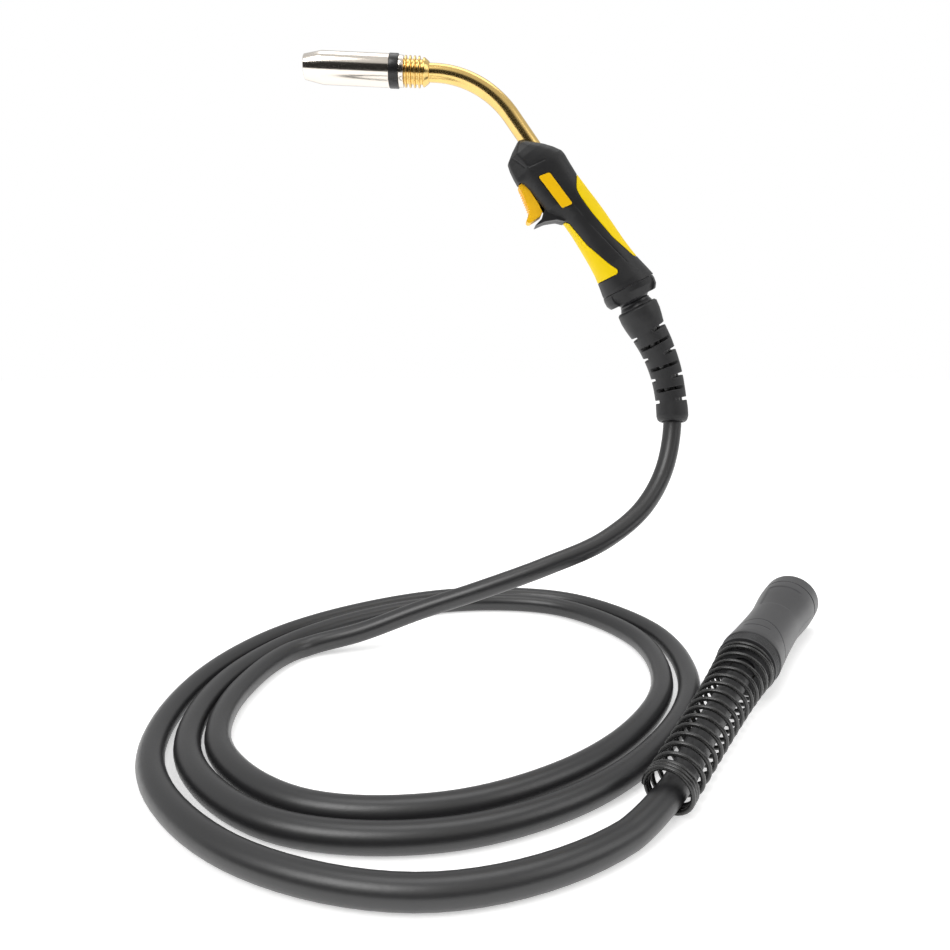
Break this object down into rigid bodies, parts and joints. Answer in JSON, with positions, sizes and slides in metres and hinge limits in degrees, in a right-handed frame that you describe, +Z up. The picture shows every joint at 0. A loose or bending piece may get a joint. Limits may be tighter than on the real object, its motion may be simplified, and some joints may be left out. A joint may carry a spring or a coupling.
{
  "type": "mig welding torch",
  "caption": "Gas cooled welding torch: curved neck and nozzle, angled handle with trigger, ball jointed hose in loose turns, sprung machine plug.",
  "frame": {"origin": "middle of the hand grip, on the torch's centre plane; the floor that the hose lies on is 373 mm below", "axes": "-X the way the nozzle points, +Z up, +Y square to the torch's centre plane"},
  "size_m": [0.5537, 0.4379, 0.5276],
  "materials": {
    "nickel_plate": "satin nickel plate",
    "spring_steel": "drawn",
    "black_ceramic": "glossy",
    "brass": "satin",
    "copper": "satin copper",
    "white_ceramic": "matte",
    "grey_insulation": "matte",
    "handle_plastic": "satin",
    "zinc_steel": "zinc plate",
    "yellow_grip": "soft satin",
    "label_yellow": "printed film",
    "cable_rubber": "satin",
    "trigger_orange": "satin",
    "switch_plastic": "matte",
    "red_plastic": "satin",
    "lead_insulation": "satin",
    "white_plastic": "satin",
    "joint_plastic": "satin",
    "black_rubber": "matte",
    "black_spring": "black coat",
    "plug_plastic": "satin"
  },
  "bodies": {
    "cable_side": {"ball_joint": "joint_plastic", "cable_ferrule": "brass", "bend_protector": "black_rubber", "hose": "cable_rubber", "support_spring": "black_spring", "spring_nipple": "plug_plastic", "rear_ferrule": "brass", "housing_top": "plug_plastic", "housing_bottom": "plug_plastic", "housing_screws": "zinc_steel", "adaptor_body": "brass", "insulator_face": "switch_plastic", "gas_pin": "brass", "o_rings": "black_rubber", "liner_nut": "brass"},
    "bearing_ring": {"socket_liner": "white_plastic"},
    "handle": {"shell_left": "handle_plastic", "shell_right": "handle_plastic", "shell_screws": "zinc_steel", "rear_collar": "handle_plastic", "palm_inlay": "yellow_grip", "front_inlay": "yellow_grip", "label_plates": "label_yellow", "neck_clamp": "zinc_steel", "cable_nut": "brass", "handle_cable": "cable_rubber", "trigger_pin": "zinc_steel", "trigger_spring": "spring_steel", "micro_switch": "switch_plastic", "switch_leads": "lead_insulation", "neck_tube": "brass", "neck_insulation": "grey_insulation", "neck_conductor": "copper", "wire_liner": "spring_steel", "finned_socket": "brass", "seat_collar": "nickel_plate", "insulator_ring": "black_ceramic", "nozzle_spring": "spring_steel", "contact_tip": "copper", "tip_holder": "brass", "gas_diffuser": "white_ceramic"},
    "nozzle": {"gas_nozzle": "nickel_plate"},
    "trigger": {"trigger": "trigger_orange"},
    "plunger": {"switch_plunger": "red_plastic"},
    "coupling": {"coupling_nut": "plug_plastic"},
    "pin_a": {"contact_pin_a": "brass"},
    "pin_b": {"contact_pin_b": "brass"}
  },
  "joints": [
    {"name": "ball_sway", "type": "hinge", "parent": "cable_side", "child": "bearing_ring", "pos_m": [0.034, 0, -0.051], "axis": [0.8944, 0, 0.4472], "range_deg": [-12, 12]},
    {"name": "ball_tilt", "type": "hinge", "parent": "bearing_ring", "child": "handle", "pos_m": [0.034, 0, -0.051], "axis": [0, 1, 0], "range_deg": [-12, 12]},
    {"name": "nozzle_pull", "type": "slide", "parent": "handle", "child": "nozzle", "axis": [-0.999, 0, 0.0436], "range_m": [0, 0.025]},
    {"name": "trigger_press", "type": "hinge", "parent": "handle", "child": "trigger", "pos_m": [-0.06114, 0, 0.04269], "axis": [0, -1, 0], "range_deg": [0, 7], "stiffness_Nm_per_rad": 0.6, "springref_deg": -14.32},
    {"name": "plunger_slide", "type": "slide", "parent": "handle", "child": "plunger", "axis": [0.8039, 0, 0.5948], "range_m": [0, 0.0021]},
    {"name": "coupling_turn", "type": "hinge", "parent": "cable_side", "child": "coupling", "pos_m": [0.19311, -0.02814, -0.3485], "axis": [0.5621, 0.8271, 0], "continuous": true},
    {"name": "pin_a_press", "type": "slide", "parent": "cable_side", "child": "pin_a", "axis": [-0.5621, -0.8271, 0], "range_m": [0, 0.003], "stiffness_N_per_m": 300, "springref_m": -0.002},
    {"name": "pin_b_press", "type": "slide", "parent": "cable_side", "child": "pin_b", "axis": [-0.5621, -0.8271, 0], "range_m": [0, 0.003], "stiffness_N_per_m": 300, "springref_m": -0.002}
  ],
  "couplings": [
    {"joint": "plunger_slide", "follows": "trigger_press", "m_per_rad": 0.017}
  ]
}
